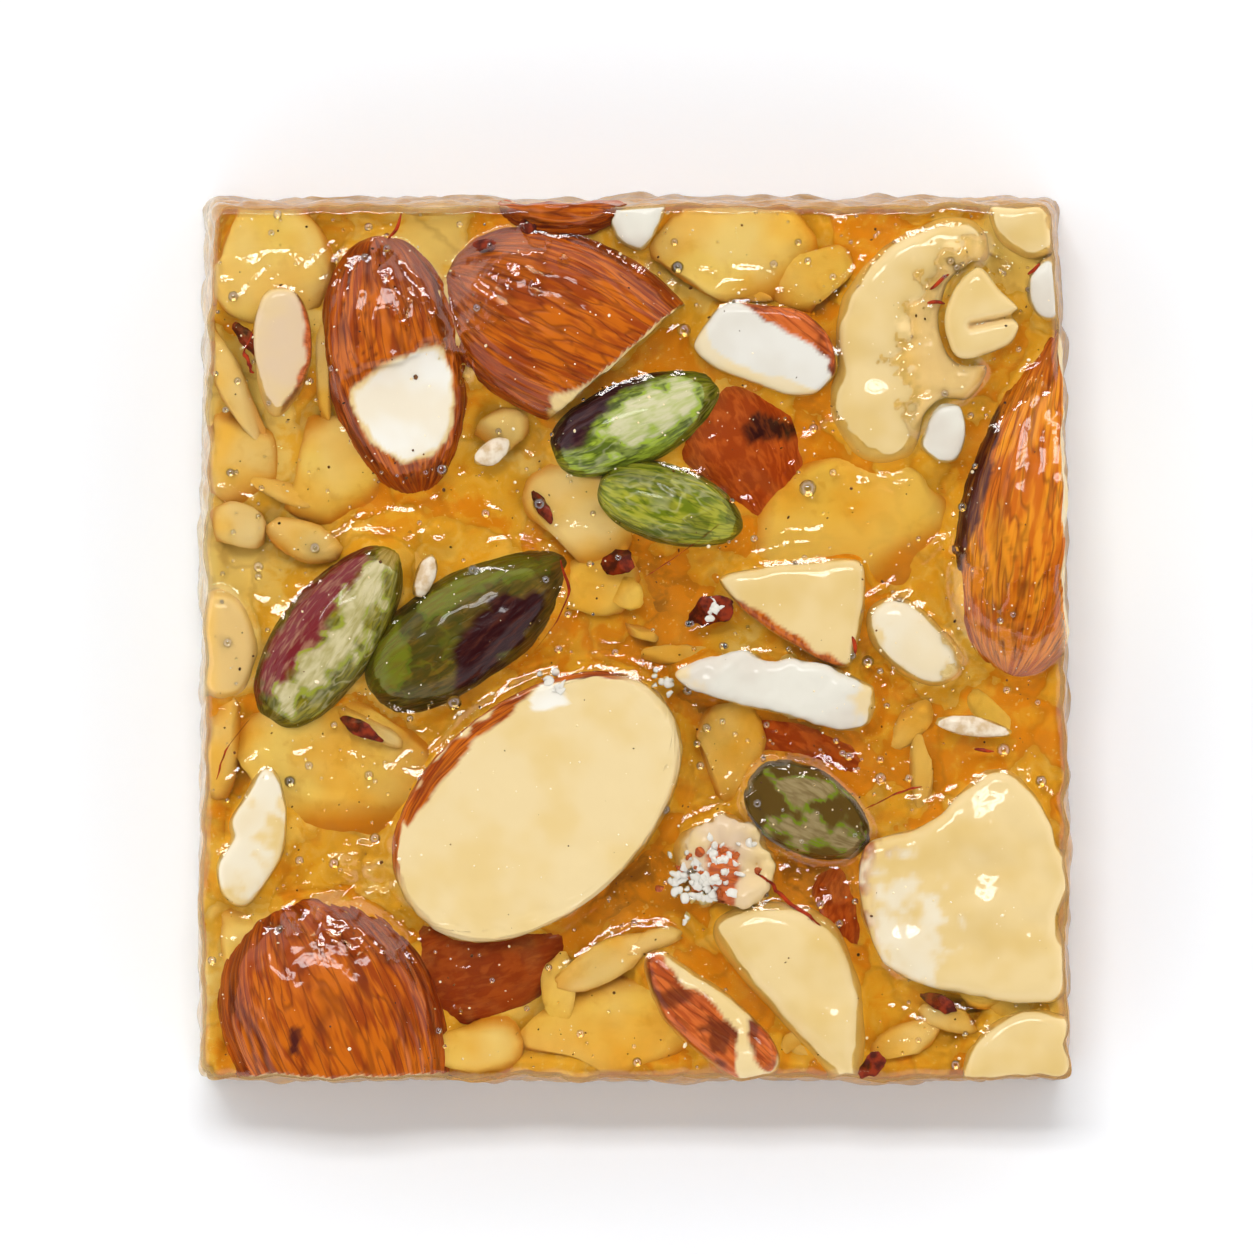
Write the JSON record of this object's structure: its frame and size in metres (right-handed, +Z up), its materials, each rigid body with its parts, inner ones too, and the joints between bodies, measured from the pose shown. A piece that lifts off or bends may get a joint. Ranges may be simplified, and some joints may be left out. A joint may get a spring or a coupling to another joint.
{
  "type": "dry fruit brittle",
  "caption": "Square of nut brittle: clear amber set sugar holding almonds, cashews, pistachios and coconut that stand a little proud of its top.",
  "frame": {"origin": "on the surface the square lies on, under the middle of its bounding box", "axes": "+Z up through the nutted top, +Y towards the edge that is at the top of the picture, +X towards its right"},
  "size_m": [0.0584, 0.0596, 0.011],
  "materials": {
    "amber_sugar": "gloss",
    "almond_skin": "satin",
    "almond_flesh": "satin",
    "cashew": "satin",
    "coconut": "matte",
    "pistachio": "satin"
  },
  "bodies": {
    "root": {"sugar_slab": "amber_sugar", "almond_blunt": "almond_skin", "almond_chipped": "almond_skin", "almond_side": "almond_skin", "almond_corner": "almond_skin", "almond_rim": "almond_skin", "almond_split": "almond_flesh", "almond_wedge": "almond_flesh", "almond_slice": "almond_flesh", "almond_torn": "almond_flesh", "almond_crumbs": "almond_flesh", "cashew_notched": "cashew", "cashew_half": "cashew", "cashew_triangle": "cashew", "cashew_tip": "cashew", "cashew_block": "cashew", "cashew_hook": "cashew", "cashew_sliver": "cashew", "cashew_left": "cashew", "cashew_top_corner": "cashew", "cashew_foot_corner": "cashew", "coconut_bit": "coconut", "coconut_strip": "coconut", "coconut_rim": "coconut", "coconut_side": "coconut", "pistachio_upper": "pistachio", "pistachio_lower": "pistachio", "pistachio_left": "pistachio", "pistachio_dark": "pistachio", "pistachio_cut": "pistachio"}
  },
  "joints": []
}
